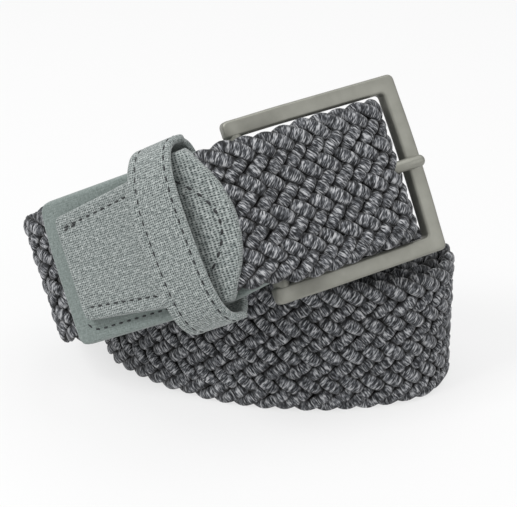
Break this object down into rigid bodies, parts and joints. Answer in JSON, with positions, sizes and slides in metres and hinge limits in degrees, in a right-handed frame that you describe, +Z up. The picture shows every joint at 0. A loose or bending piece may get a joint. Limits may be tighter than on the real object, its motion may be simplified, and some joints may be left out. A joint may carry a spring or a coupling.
{
  "type": "braided belt",
  "caption": "Braided stretch belt with a rectangular prong buckle, fabric tab, keeper loop and tip, buckled into a loop and rolled up on its edge.",
  "frame": {"origin": "middle of the belt's footprint, on the floor that the roll stands on", "axes": "+X to the right as the buckled run faces the viewer, along the roll's length; +Y away from the viewer; +Z up"},
  "size_m": [0.1108, 0.084, 0.0802],
  "materials": {
    "braided_cord": "matt two-tone grey braided elastic cord",
    "canvas": "matt grey-green canvas with dark grey stitching",
    "buckle_metal": "satin warm grey coat on cast metal"
  },
  "bodies": {
    "root": {"braided_strap": "braided_cord", "buckle_frame": "buckle_metal", "buckle_prong": "buckle_metal", "buckle_tab": "canvas", "keeper_loop": "canvas", "strap_tip": "canvas"}
  },
  "joints": []
}
